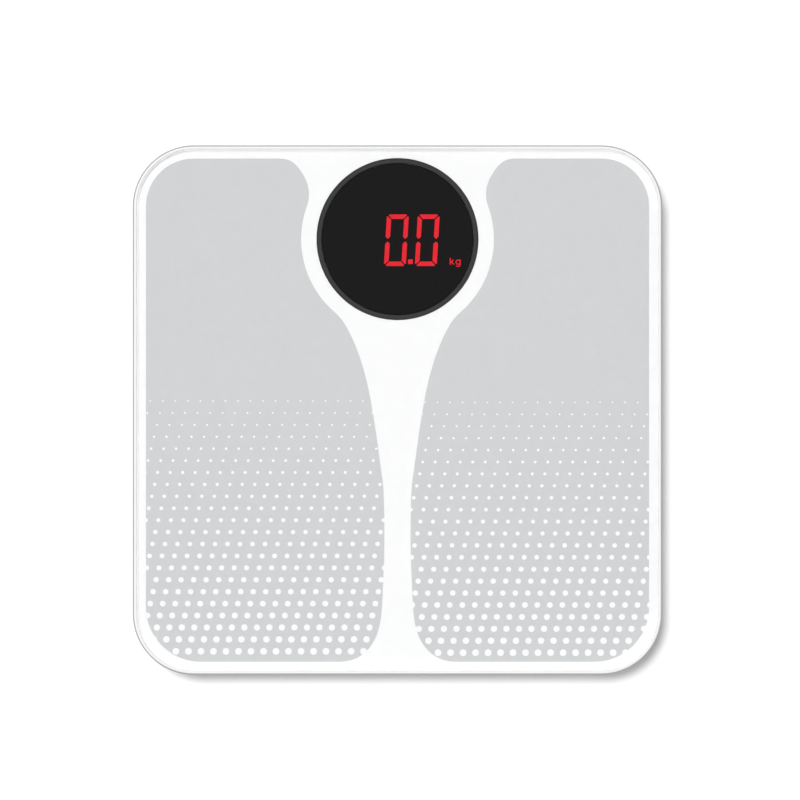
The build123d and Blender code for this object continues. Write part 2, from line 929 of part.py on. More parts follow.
def coil_point(turns):
    """A point of the spring's wire and its direction, along +X from the contact."""
    run = turns / spring_turns
    radius = spring_base + (spring_tip - spring_base) * run
    angle = 2 * pi * turns
    rise = spring_length - contact_gap - 2 * spring_wire
    place = Vector(spring_wire + rise * run, radius * cos(angle), radius * sin(angle))
    taper = (spring_tip - spring_base) / spring_turns
    turn = 2 * pi * radius
    across = taper * cos(angle) - turn * sin(angle)
    upward = taper * sin(angle) + turn * cos(angle)
    return place, Vector(rise / spring_turns, across, upward).normalized()


def biarc(start, start_way, end, end_way):
    """Two tangent arcs between two points with given directions."""
    chord = end - start
    ways = start_way + end_way
    spread = 2 * (1 - start_way.dot(end_way))
    along = chord.dot(ways)
    reach = (sqrt(along**2 + spread * chord.dot(chord)) - along) / spread
    first = start + start_way * reach
    second = end - end_way * reach
    meet = (first + second) / 2
    meet_way = (second - first).normalized()
    return [TangentArc(start, meet, tangent=start_way), TangentArc(meet, end, tangent=meet_way)]


def contact_spring():
    """A conical coil along +X, swept on arcs of an eighth of a turn."""
    steps = int(spring_knots_per_turn * spring_turns)
    knots = [coil_point(index * spring_turns / steps) for index in range(steps + 1)]
    arcs = []
    for (start, start_way), (end, end_way) in zip(knots, knots[1:]):
        arcs += biarc(start, start_way, end, end_way)
    path = Wire(arcs)
    section = Plane(origin=knots[0][0], z_dir=knots[0][1]) * Circle(spring_wire)
    return sweep(section, path=path)


def spring_self_gap():
    """The least gap between neighbouring curls, measured on points of the wire."""
    count = int(spring_turns * spring_points_per_turn) + 1
    points = [coil_point(index / spring_points_per_turn)[0] for index in range(count)]
    half_turn = spring_points_per_turn // 2
    gaps = []
    for index, place in enumerate(points):
        gaps += [(place - other).length for other in points[index + half_turn:]]
    return min(gaps) - 2 * spring_wire


def contact_springs():
    """One spring on the bridge and one on the negative contact."""
    rear, front = contact_rows()
    seat = bay_end - contact_thickness
    spring = contact_spring()
    return [
        Pos(-seat, rear, battery_axis) * spring,
        Pos(seat, front, battery_axis) * Rot(0, 0, 180) * spring,
    ]


def battery_door():
    """The door in the tray floor, with its hinge barrel, pins, latch tongue and grip lines."""
    door = block(-door_end, door_end, hinge_y, door_rear, floor_clearance, door_top)
    door += rod(barrel_radius, -door_end, door_end, hinge_y, hinge_z)
    reach = door_end + pin_length
    door += rod(pin_radius, -reach, reach, hinge_y, hinge_z)
    for side in (-1, 1):
        x = side * latch_width / 2
        door -= block(x - latch_slot / 2, x + latch_slot / 2, door_rear - latch_length, door_rear,
                      floor_clearance, door_top)
    half = latch_bead_length / 2
    bead_z = (floor_clearance + door_top) / 2
    door += rod(latch_bead, -half, half, door_rear, bead_z)
    for index in range(grip_count):
        y = door_rear - grip_inset - index * grip_pitch
        door -= block(-grip_length / 2, grip_length / 2, y - grip_width / 2, y + grip_width / 2,
                      floor_clearance, floor_clearance + grip_depth)
    return door


# Feet


def foot_cap():
    """The cup that holds a load cell, with a flange that keeps it in the tray."""
    cap = disc(foot_radius, cap_base, flange_top)
    cap = fillet(cap.edges().group_by(Axis.Z)[0], cap_edge)
    cap += disc(foot_radius + flange_width, flange_base, flange_top)
    cap -= disc(foot_radius - cap_wall, load_cell_base, flange_top)
    cap -= disc(pad_radius + pad_fit, cap_base, pad_thickness)
    half = load_cell_size / 2 - load_cell_frame + pocket_gap
    cap -= block(-half, half, -half, half, load_cell_base - pocket_depth, load_cell_base)
    half = notch_width / 2
    notch_base = wire_z - wire_radius - foot_travel - flange_gap
    outer = foot_radius + flange_width + overcut
    return cap - block(-half, half, foot_radius - cap_wall - overcut, outer, notch_base, flange_top)


def foot_pad():
    """The rubber pad under a foot, with round grooves."""
    pad = disc(pad_radius, 0, pad_thickness)
    pad = fillet(pad.edges().group_by(Axis.Z)[0], pad_edge)
    for index in range(pad_groove_count):
        outer = pad_radius - (index + 1) * pad_groove_pitch + pad_groove_width / 2
        pad -= disc(outer, 0, pad_groove_depth) - disc(outer - pad_groove_width, 0, pad_groove_depth)
    return pad


def load_cell():
    """The steel plate whose middle tongue the tray presses on."""
    half = load_cell_size / 2 - load_cell_frame
    tongue_tip = tongue_slot - half
    plate = RectangleRounded(load_cell_size, load_cell_size, load_cell_corner)
    plate -= Rectangle(2 * half, 2 * half)
    plate += Pos(0, (half + tongue_tip) / 2) * Rectangle(tongue_width, half - tongue_tip)
    return slab(plate, load_cell_base, load_cell_top) + disc(press_radius, load_cell_top, press_top)


def strain_gauge():
    """The coated gauge at the root of the tongue."""
    half = gauge_width / 2
    return block(-half, half, gauge_front, gauge_rear, load_cell_top, load_cell_top + gauge_height)


# The whole scale

left_zone = foot_zone()
rear_row, front_row = contact_rows()
half_lead = lead_spacing / 2

nodes = {
    "base_tray": base_tray(),
    "edge_trim": edge_trim(),
    "glass_platform": glass_platform(),
    "print_film": print_film(),
    "mounting_tape": mounting_tape(),
    "left_foot_zone": left_zone,
    "right_foot_zone": mirror(left_zone, Plane.YZ),
    "display_window": display_window(),
    "display_ring": display_ring(),
    "digit_segments": digit_segments(),
    "segment_leds": segment_leds(),
    "led_module": led_module(),
    "light_gasket": light_gasket(),
    "main_board": main_board(),
    "board_screws": board_screws(),
    "wire_headers": wire_headers(),
    "controller_chip": controller_chip(),
    "board_components": board_components(),
    "unit_button": unit_button(),
    "tact_switch": tact_switch(),
    "switch_plunger": switch_plunger(),
    "battery_door": battery_door(),
    "rear_battery": place_battery(rear_row, 0),
    "front_battery": place_battery(front_row, 180),
    "positive_contact": end_contact(rear_row),
    "negative_contact": end_contact(front_row),
    "bridge_contact": bridge_contact(),
    "contact_springs": contact_springs(),
    "positive_lead": wire(lead_route(-half_lead, rear_row), lead_radii),
    "negative_lead": wire(lead_route(half_lead, front_row), lead_radii),
    "front_left_wires": load_cell_wires(front_route(-1), turn_radii),
    "front_right_wires": load_cell_wires(front_route(1), turn_radii),
    "rear_left_wires": load_cell_wires(rear_route(-1), rise_radii),
    "rear_right_wires": load_cell_wires(rear_route(1), rise_radii),
}
for foot in feet:
    nodes[f"{foot}_foot_cap"] = at_foot(foot) * foot_cap()
    nodes[f"{foot}_foot_pad"] = at_foot(foot) * foot_pad()
    nodes[f"{foot}_load_cell"] = at_foot(foot) * load_cell()
    nodes[f"{foot}_strain_gauge"] = at_foot(foot) * strain_gauge()

print(f"least gap between the curls of a contact spring: {spring_self_gap():.2f} mm")
os.makedirs("parts", exist_ok=True)
for name, shape in nodes.items():
    solids = shape if isinstance(shape, list) else [shape]
    export_step(Compound([solid for piece in solids for solid in piece.solids()]), f"parts/{name}.step")
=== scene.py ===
import logging
import math
from dataclasses import dataclass
from enum import Enum
from typing import Any, Callable, ClassVar, Union

import bmesh
import bpy
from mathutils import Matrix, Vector


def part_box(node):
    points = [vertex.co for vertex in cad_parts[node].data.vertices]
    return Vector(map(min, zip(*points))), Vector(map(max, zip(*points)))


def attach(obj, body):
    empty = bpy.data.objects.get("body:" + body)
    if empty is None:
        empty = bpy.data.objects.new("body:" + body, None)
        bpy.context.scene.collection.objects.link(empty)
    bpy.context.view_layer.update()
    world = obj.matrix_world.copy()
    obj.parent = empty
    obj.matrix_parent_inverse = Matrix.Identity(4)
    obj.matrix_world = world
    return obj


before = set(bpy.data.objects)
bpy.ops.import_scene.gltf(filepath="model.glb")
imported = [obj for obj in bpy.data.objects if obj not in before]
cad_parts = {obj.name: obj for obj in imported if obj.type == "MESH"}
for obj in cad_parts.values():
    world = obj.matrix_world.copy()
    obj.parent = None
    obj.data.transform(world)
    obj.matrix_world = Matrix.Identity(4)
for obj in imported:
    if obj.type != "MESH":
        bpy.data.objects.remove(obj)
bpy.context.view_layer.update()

log = logging.getLogger("bathroom_scale")
logging.basicConfig(level=logging.INFO, format="%(name)s: %(message)s")

Material = bpy.types.Material
Piece = bpy.types.Object
Socket = bpy.types.NodeSocket
Face = bmesh.types.BMFace
Term = Union["Num", float]
Spot = tuple[float, float]
Span = tuple[float, float]
Point = tuple[float, float, float]
Colour = tuple[float, float, float]
Stops = tuple[tuple[float, Colour], ...]
Sockets = dict[str | int, Any]

BASE_BODY = "scale_base"
MM = 0.001
NOISE_MIDDLE = 0.5
NO_SHEEN = 0.0


class Foot(Enum):
    """The four feet, as their pieces are named."""

    FRONT_LEFT = "front_left"
    FRONT_RIGHT = "front_right"
    REAR_LEFT = "rear_left"
    REAR_RIGHT = "rear_right"


class Side(Enum):
    """The two foot zones, as their pieces are named."""

    LEFT = "left"
    RIGHT = "right"


class Share(Enum):
    """What a lamp does with the prints behind the glass."""

    LIGHTS_ONLY = "INCLUDE"
    PASSES_BY = "EXCLUDE"


class Blend(Enum):
    """Ways to mix two colours."""

    PLAIN = "MIX"
    DARKEN = "MULTIPLY"


class Pattern(Enum):
    """Kinds of unevenness."""

    NOISE = "ShaderNodeTexNoise"
    CELLS = "ShaderNodeTexVoronoi"


class Ray(Enum):
    """Kinds of ray that a surface can tell apart."""

    CAMERA = "Is Camera Ray"
    DIFFUSE = "Is Diffuse Ray"
    GLOSSY = "Is Glossy Ray"
    SHADOW = "Is Shadow Ray"
    TRANSMISSION = "Is Transmission Ray"


# Node building


@dataclass
class Num:
    """A number that changes over a surface; sums on it add Math nodes."""

    SMOOTH: ClassVar[dict[str, str]] = {"interpolation_type": "SMOOTHSTEP"}

    shading: "Shading"
    socket: Socket

    def _sum(self, operation: str, *terms: Term) -> "Num":
        """The result of a new Math node, with its terms in order."""
        settings = {"operation": operation}
        return self.shading.number("ShaderNodeMath", 0, settings, dict(enumerate(terms)))

    def __add__(self, other: Term) -> "Num":
        """This number plus another."""
        return self._sum("ADD", self, other)

    def __sub__(self, other: Term) -> "Num":
        """This number less another."""
        return self._sum("SUBTRACT", self, other)

    def __rsub__(self, other: float) -> "Num":
        """A plain number less this one."""
        return self._sum("SUBTRACT", other, self)

    def __mul__(self, other: Term) -> "Num":
        """This number times another."""
        return self._sum("MULTIPLY", self, other)

    __radd__, __rmul__ = __add__, __mul__

    def __abs__(self) -> "Num":
        """The size of this number."""
        return self._sum("ABSOLUTE", self)

    def __gt__(self, other: Term) -> "Num":
        """One where this number is larger, and nought elsewhere."""
        return self._sum("GREATER_THAN", self, other)

    def larger(self, other: Term) -> "Num":
        """The larger of two numbers."""
        return self._sum("MAXIMUM", self, other)

    def wave(self) -> "Num":
        """The sine of this number."""
        return self._sum("SINE", self)

    def step(self, low: float, high: float) -> "Num":
        """A smooth rise from nought to one, as this number goes from low to high."""
        sockets = {"Value": self, "From Min": low, "From Max": high}
        return self.shading.number("ShaderNodeMapRange", 0, self.SMOOTH, sockets)


class Shading:
    """The node tree of a material or of the sky."""

    FIRST_COLOUR: ClassVar[int] = 6
    SECOND_COLOUR: ClassVar[int] = 7
    MIXED_COLOUR: ClassVar[int] = 2

    def __init__(self, owner: Material | bpy.types.World, output: str) -> None:
        """Empties a tree and adds its output node.

        Args:
            owner: What the tree belongs to.
            output: The output node's type.
        """
        owner.use_nodes = True
        self.owner = owner
        self.tree = owner.node_tree
        self.tree.nodes.clear()
        self.output = self.node(output)

    def node(self, kind: str, settings: dict[str, Any] | None = None,
             sockets: Sockets | None = None) -> bpy.types.Node:
        """Adds any node, sets it up and then fills its sockets.

        Args:
            kind: The node's type.
            settings: Its own settings.
            sockets: Values or links by socket name or number.

        Returns:
            The new node.
        """
        node = self.tree.nodes.new(kind)
        for key, value in (settings or {}).items():
            setattr(node, key, value)
        for key, value in (sockets or {}).items():
            source = value.socket if isinstance(value, Num) else value
            if isinstance(source, Socket):
                self.tree.links.new(source, node.inputs[key])
            else:
                node.inputs[key].default_value = self._fitted(source, node.inputs[key])
        return node

    def number(self, kind: str, output: str | int = 0, settings: dict[str, Any] | None = None,
               sockets: Sockets | None = None) -> Num:
        """Adds any node and gives one of its outputs as a number."""
        return Num(self, self.node(kind, settings, sockets).outputs[output])

    def shader(self, kind: str, sockets: Sockets | None = None) -> Socket:
        """Adds any shader with some of its sockets filled."""
        return self.node(kind, sockets=sockets).outputs[0]

    @staticmethod
    def _fitted(value: Any, socket: Socket) -> Any:
        """A colour with its fourth number where the socket wants one."""
        return (*value, 1.0) if socket.type == "RGBA" and len(value) == 3 else value

    def place(self) -> Socket:
        """The point on the piece, in metres in the frame of the scale."""
        return self.node("ShaderNodeTexCoord").outputs["Object"]

    def facing(self) -> tuple[Num, Num, Num]:
        """The three parts of the surface's own direction."""
        return self.parts(self.node("ShaderNodeTexCoord").outputs["Normal"])

    def parts(self, vector: Socket) -> tuple[Num, Num, Num]:
        """The three parts of a vector."""
        split = self.node("ShaderNodeSeparateXYZ", sockets={0: vector})
        return tuple(Num(self, output) for output in split.outputs)

    def moved(self, centre: Point = (0.0, 0.0, 0.0), scale: Point = (1.0, 1.0, 1.0)) -> Socket:
        """The point on the piece, from a pattern's middle and by its scale along each axis."""
        sockets = {"Vector": self.place(), "Location": centre, "Scale": scale}
        return self.node("ShaderNodeMapping", {"vector_type": "TEXTURE"}, sockets).outputs[0]

    def away(self, centre: Point) -> Num:
        """How far the point is from a middle, in metres."""
        sockets = {0: self.place(), 1: centre}
        return self.number("ShaderNodeVectorMath", "Value", {"operation": "DISTANCE"}, sockets)

    def ramp(self, value: Num, stops: Stops) -> Socket:
        """A colour that follows a number.

        Args:
            value: The number.
            stops: Places from nought to one, each with its colour.

        Returns:
            The colour.
        """
        node = self.node("ShaderNodeValToRGB", sockets={0: value})
        elements = node.color_ramp.elements
        while len(elements) < len(stops):
            elements.new(1.0)
        for element, (place, colour) in zip(elements, stops):
            element.position = place
            element.color = (*colour, 1.0)
        return node.outputs[0]

    def mix(self, share: Num, first: Any, second: Any, blend: Blend = Blend.PLAIN) -> Socket:
        """Mixes two colours.

        Args:
            share: How much of the second colour shows.
            first: A colour or a link to one.
            second: A colour or a link to one.
            blend: How the second goes over the first.

        Returns:
            The mixed colour.
        """
        settings = {"data_type": "RGBA", "blend_type": blend.value}
        sockets = {0: share, self.FIRST_COLOUR: first, self.SECOND_COLOUR: second}
        return self.node("ShaderNodeMix", settings, sockets).outputs[self.MIXED_COLOUR]

    def bump(self, height: Num, depth: float, strength: float) -> Socket:
        """A surface direction that follows heights, of which one stands for a depth in metres."""
        sockets = {"Height": height, "Distance": depth, "Strength": strength}
        return self.node("ShaderNodeBump", sockets=sockets).outputs[0]

    def ray(self, kind: Ray) -> Num:
        """One for rays of a kind, and nought for others."""
        return self.number("ShaderNodeLightPath", kind.value)

    def either(self, share: Num, first: Socket, second: Socket) -> Socket:
        """A mix of two shaders."""
        return self.shader("ShaderNodeMixShader", {0: share, 1: first, 2: second})

    def finish(self, shader: Socket) -> Material | bpy.types.World:
        """Joins a shader to the output and gives what it belongs to."""
        self.tree.links.new(shader, self.output.inputs["Surface"])
        return self.owner


# Finishes


@dataclass(frozen=True)
class Texture:
    """A fine unevenness, and how it shows in the colour, the gloss and the relief."""

    size: float
    detail: float = 3.0
    span: Span = (0.3, 0.8)
    tone: float = 1.0
    gloss: float = 0.0
    depth: float = 0.0
    strength: float = 1.0
    pattern: Pattern = Pattern.NOISE

    def value(self, shading: Shading, at: Socket | None = None) -> Num:
        """The unevenness, read at the point on the piece or at another."""
        sockets = {"Vector": at or shading.place(), "Scale": 1.0 / self.size, "Detail": self.detail}
        return shading.number(self.pattern.value, sockets=sockets)

    def colour(self, value: Num, colour: Colour) -> Socket:
        """A colour that changes its tone where the unevenness is high."""
        dark = tuple(part * self.tone for part in colour)
        return value.shading.mix(value.step(*self.span), colour, dark)

    def sheen(self, value: Num) -> Num:
        """What the unevenness adds to the roughness, more or less than nought."""
        return self.gloss * (value - NOISE_MIDDLE)

    def relief(self, value: Num) -> Socket:
        """A surface direction that follows the unevenness."""
        return value.shading.bump(value, self.depth, self.strength)


@dataclass(frozen=True)
class Finish:
    """A surface finish, made into a material the first time it is used."""

    name: str
    made: ClassVar[dict[str, Material]] = {}

    def material(self) -> Material:
        """Makes the finish's material, or finds it.

        Returns:
            The material.
        """
        if self.name not in self.made:
            shading = Shading(bpy.data.materials.new(self.name), "ShaderNodeOutputMaterial")
            self.made[self.name] = shading.finish(self.paint(shading))
        return self.made[self.name]

    def paint(self, shading: Shading) -> Socket:
        """The finish's shader in a new node tree, by default the usual one."""
        return shading.shader("ShaderNodeBsdfPrincipled", self.sockets(shading))

    def sockets(self, shading: Shading) -> Sockets:
        """What feeds the usual shader, by the names of its sockets."""
        raise NotImplementedError


@dataclass(frozen=True)
class MouldedPlastic(Finish):
    """Plastic from a spark-eroded mould: a fine satin grain and a faint cloudiness."""

    colour: Colour
    roughness: float = 0.42
    grain: Texture = Texture(0.35 * MM, gloss=0.12, depth=0.012 * MM)
    cloud: Texture = Texture(22 * MM, 2.0, tone=0.98, gloss=0.06)

    def sockets(self, shading: Shading) -> Sockets:
        """Grain in the relief and the gloss, cloudiness in the colour.

        Args:
            shading: The node tree.

        Returns:
            What feeds the shader.
        """
        grain, clouds = self.grain.value(shading), self.cloud.value(shading)
        return {
            "Base Color": self.cloud.colour(clouds, self.colour),
            "Roughness": self.roughness + self.grain.sheen(grain) + self.cloud.sheen(clouds),
            "Normal": self.grain.relief(grain),
        }


@dataclass(frozen=True)
class ClearGlass(Finish):
    """Tempered glass with polished faces and a ground edge."""

    tint: Colour = (0.992, 0.998, 0.995)
    index: float = 1.5
    polished: Span = (0.6, 0.98)
    edge_roughness: float = 0.22
    grind: Texture = Texture(0.4 * MM, gloss=0.1)

    def sockets(self, shading: Shading) -> Sockets:
        """Smooth where a face looks up or down, ground where it looks sideways.

        Args:
            shading: The node tree.

        Returns:
            What feeds the shader.
        """
        ground = 1.0 - abs(shading.facing()[2]).step(*self.polished)
        grind = self.grind.value(shading)
        return {
            "Base Color": self.tint,
            "Roughness": ground * (self.edge_roughness + self.grind.sheen(grind)),
            "IOR": self.index,
            "Transmission Weight": 1.0,
        }

    def paint(self, shading: Shading) -> Socket:
        """Clear to the light that falls on what lies behind it.

        Args:
            shading: The node tree.

        Returns:
            The shader.
        """
        glass = super().paint(shading)
        clear = shading.shader("ShaderNodeBsdfTransparent")
        lit = shading.either(shading.ray(Ray.SHADOW), glass, clear)
        return shading.either(shading.ray(Ray.DIFFUSE), lit, clear)


@dataclass(frozen=True)
class ScreenInk(Finish):
    """Ink laid down through a fine mesh, with no gloss of its own under the glass."""

    colour: Colour
    roughness: float = 0.5
    mesh: Texture = Texture(0.22 * MM, depth=0.002 * MM, strength=0.5)
    mottle: Texture = Texture(3 * MM, span=(0.3, 0.7), tone=0.976, gloss=0.15)

    def sockets(self, shading: Shading) -> Sockets:
        """The mesh's weave in the relief, a slight mottle in the colour.

        Args:
            shading: The node tree.

        Returns:
            What feeds the shader.
        """
        across, along, _ = shading.parts(shading.place())
        turns = 2.0 * math.pi / self.mesh.size
        weave = 0.5 + 0.25 * ((across * turns).wave() + (along * turns).wave())
        mottle = self.mottle.value(shading)
        return {
            "Base Color": self.mottle.colour(mottle, self.colour),
            "Roughness": self.roughness + self.mottle.sheen(mottle),
            "Specular IOR Level": NO_SHEEN,
            "Normal": self.mesh.relief(weave),
        }


@dataclass(frozen=True)
class DisplayInk(Finish):
    """Dark ink round the middle of the display, toned by its distance from there."""

    centre: Point
    reach: float
    stops: Stops
    roughness: float = 0.45
    speckle: Texture = Texture(0.3 * MM, 2.0, gloss=0.2, depth=0.003 * MM, strength=0.4)
    speckle_share: float = 0.25
    speckle_tone: Colour = (0.6, 0.6, 0.62)

    def sockets(self, shading: Shading) -> Sockets:
        """Rings of tone, with a fine speckle.

        Args:
            shading: The node tree.

        Returns:
            What feeds the shader.
        """
        tone = shading.ramp(shading.away(self.centre) * (1.0 / self.reach), self.stops)
        speckle = self.speckle.value(shading)
        share = self.speckle_share * speckle
        return {
            "Base Color": shading.mix(share, tone, self.speckle_tone, Blend.DARKEN),
            "Roughness": self.roughness + self.speckle.sheen(speckle),
            "Specular IOR Level": NO_SHEEN,
            "Normal": self.speckle.relief(speckle),
        }


@dataclass(frozen=True)
class LitRed(Finish):
    """A light guide that is lit from below, not quite evenly."""

    colour: Colour
    strength: float = 1.0
    body: Colour = (0.05, 0.002, 0.002)
    roughness: float = 0.35
    haze: Texture = Texture(1.6 * MM, 2.0, span=(0.35, 0.75), tone=0.88, gloss=0.2)

    def sockets(self, shading: Shading) -> Sockets:
        """Light with a soft unevenness from the diffuser.

        Args:
            shading: The node tree.

        Returns:
            What feeds the shader.
        """
        haze = self.haze.value(shading)
        return {
            "Base Color": self.body,
            "Roughness": self.roughness + self.haze.sheen(haze),
            "Specular IOR Level": NO_SHEEN,
            "Emission Color": self.haze.colour(haze, self.colour),
            "Emission Strength": self.strength,
        }


@dataclass(frozen=True)
class Rubber(Finish):
    """Soft rubber with a matt, slightly dusty skin."""

    colour: Colour
    dusty: Colour
    roughness: float = 0.78
    pores: Texture = Texture(0.5 * MM, 0.0, depth=0.02 * MM, strength=0.6, pattern=Pattern.CELLS)
    dust: Texture = Texture(4 * MM, 4.0, span=(0.45, 0.85), gloss=0.15)

    def sockets(self, shading: Shading) -> Sockets:
        """Fine pores, and dust that dulls the faces.

        Args:
            shading: The node tree.

        Returns:
            What feeds the shader.
        """
        dust = self.dust.value(shading)
        return {
            "Base Color": shading.mix(dust.step(*self.dust.span), self.colour, self.dusty),
            "Roughness": self.roughness + self.dust.sheen(dust),
            "Normal": self.pores.relief(self.pores.value(shading)),
        }


@dataclass(frozen=True)
class RolledSteel(Finish):
    """Bare or plated sheet metal with the fine lines of rolling."""

    colour: Colour
    roughness: float = 0.3
    lines: Point = (6 * MM, 0.12 * MM, 0.12 * MM)
    streak: Texture = Texture(1.0, gloss=0.22, depth=0.004 * MM, strength=0.6)
    stain: Texture = Texture(5 * MM, span=(0.4, 0.8), tone=0.82, gloss=0.1)

    def sockets(self, shading: Shading) -> Sockets:
        """Long streaks in the gloss and the relief, stains in the colour.

        Args:
            shading: The node tree.

        Returns:
            What feeds the shader.
        """
        streaks = self.streak.value(shading, shading.moved(scale=self.lines))
        stain = self.stain.value(shading)
        return {
            "Base Color": self.stain.colour(stain, self.colour),
            "Metallic": 1.0,
            "Roughness": self.roughness + self.streak.sheen(streaks) + self.stain.sheen(stain),
            "Normal": self.streak.relief(streaks),
        }


@dataclass(frozen=True)
class Mottled(Finish):
    """A surface with one unevenness, which shows in its colour, gloss and relief."""

    colour: Colour
    roughness: float
    texture: Texture

    def sockets(self, shading: Shading) -> Sockets:
        """The unevenness in all three.

        Args:
            shading: The node tree.

        Returns:
            What feeds the shader.
        """
        value = self.texture.value(shading)
        return {
            "Base Color": self.texture.colour(value, self.colour),
            "Roughness": self.roughness + self.texture.sheen(value),
            "Normal": self.texture.relief(value),
        }


@dataclass(frozen=True)
class Foam(Mottled):
    """Closed-cell foam, with cells that show as small pits."""

    roughness: float = 0.85
    texture: Texture = Texture(0.6 * MM, 0.0, span=(0.35, 0.75), tone=0.6, gloss=0.1,
                               depth=0.08 * MM, pattern=Pattern.CELLS)


@dataclass(frozen=True)
class Silicone(Mottled):
    """Cured silicone, milky and lumpy."""

    roughness: float = 0.32
    texture: Texture = Texture(1.4 * MM, tone=0.8, gloss=0.25, depth=0.15 * MM, strength=0.8)


@dataclass(frozen=True)
class SolderMask(Finish):
    """A circuit board's green coat, with tracks that show through it."""

    colour: Colour
    track: Colour
    roughness: float = 0.28
    pitch: float = 2.4 * MM
    track_run: float = 12.0 * MM
    track_width: float = 0.384 * MM
    track_shift: float = 0.37
    track_squash: float = 0.6
    ripple: Texture = Texture(1.5 * MM, gloss=0.2, depth=0.03 * MM, strength=0.7)
    ripple_height: float = 0.2

    def sockets(self, shading: Shading) -> Sockets:
        """Tracks in a loose grid, raised under a glossy coat.

        Args:
            shading: The node tree.

        Returns:
            What feeds the shader.
        """
        settings = {"offset": self.track_shift, "squash": self.track_squash}
        tracks = shading.number("ShaderNodeTexBrick", "Fac", settings, {
            "Vector": shading.place(), "Scale": 1.0, "Mortar Size": self.track_width,
            "Brick Width": self.track_run, "Row Height": self.pitch,
        })
        ripple = self.ripple.value(shading)
        return {
            "Base Color": shading.mix(tracks, self.colour, self.track),
            "Roughness": self.roughness + self.ripple.sheen(ripple),
            "Normal": self.ripple.relief(tracks + self.ripple_height * ripple),
        }


@dataclass(frozen=True)
class ChipCase(Finish):
    """A black moulded chip with bright legs outside its body."""

    centre: Point
    half: float
    colour: Colour = (0.016, 0.016, 0.018)
    leg: Colour = (0.72, 0.71, 0.68)
    roughness: float = 0.6
    leg_polish: float = 0.28
    grain: Texture = Texture(0.2 * MM, gloss=0.2, depth=0.01 * MM, strength=0.6)

    def sockets(self, shading: Shading) -> Sockets:
        """Metal where the piece reaches past the body.

        Args:
            shading: The node tree.

        Returns:
            What feeds the shader.
        """
        across, along, _ = shading.parts(shading.moved(centre=self.centre))
        legs = abs(across).larger(abs(along)) > self.half
        grain = self.grain.value(shading)
        return {
            "Base Color": shading.mix(legs, self.colour, self.leg),
            "Metallic": legs,
            "Roughness": self.roughness - self.leg_polish * legs + self.grain.sheen(grain),
            "Normal": self.grain.relief(grain),
        }


@dataclass(frozen=True)
class BatterySleeve(Finish):
    """A printed film round a steel can, with a pale band near its positive end."""

    front: float
    back: float
    sleeve: Colour = (0.1, 0.14, 0.2)
    band: Colour = (0.62, 0.64, 0.6)
    steel: Colour = (0.66, 0.65, 0.63)
    tail_end: float = 0.03
    tail_edge: Span = (0.0, 0.01)
    band_start: Span = (0.7, 0.705)
    band_end: Span = (0.82, 0.825)
    nose_edge: Span = (0.945, 0.95)
    film_metal: float = 0.25
    roughness: float = 0.34
    scuff: Texture = Texture(1.2 * MM, 4.0, gloss=0.18, depth=0.01 * MM, strength=0.4)

    def sockets(self, shading: Shading) -> Sockets:
        """Bands by the share of the can's length, and bare steel at both ends.

        Args:
            shading: The node tree.

        Returns:
            What feeds the shader.
        """
        along = shading.parts(shading.moved(centre=(self.back, 0.0, 0.0)))[0]
        share = along * (1.0 / (self.front - self.back))
        bare = (self.tail_end - share).step(*self.tail_edge) + share.step(*self.nose_edge)
        stripe = share.step(*self.band_start) - share.step(*self.band_end)
        film = shading.mix(stripe, self.sleeve, self.band)
        scuff = self.scuff.value(shading)
        return {
            "Base Color": shading.mix(bare, film, self.steel),
            "Metallic": self.film_metal + (1.0 - self.film_metal) * bare,
            "Roughness": self.roughness + self.scuff.sheen(scuff),
            "Normal": self.scuff.relief(scuff),
        }


@dataclass(frozen=True)
class LedChip(Finish):
    """A small white package with a lens of amber gel on its top."""

    top: float
    gel: Colour = (0.75, 0.32, 0.06)
    case: Colour = (0.82, 0.81, 0.77)
    lens_base: float = 0.2 * MM
    lens_crown: float = 0.05 * MM
    roughness: float = 0.45
    lens_polish: float = 0.2
    grain: Texture = Texture(0.3 * MM, 2.0, gloss=0.15, depth=0.01 * MM, strength=0.5)

    def sockets(self, shading: Shading) -> Sockets:
        """Gel near the top face, white case below.

        Args:
            shading: The node tree.

        Returns:
            What feeds the shader.
        """
        height = shading.parts(shading.place())[2]
        lens = height.step(self.top - self.lens_base, self.top - self.lens_crown)
        grain = self.grain.value(shading)
        return {
            "Base Color": shading.mix(lens, self.case, self.gel),
            "Roughness": self.roughness - self.lens_polish * lens + self.grain.sheen(grain),
            "Normal": self.grain.relief(grain),
        }


# Modelling


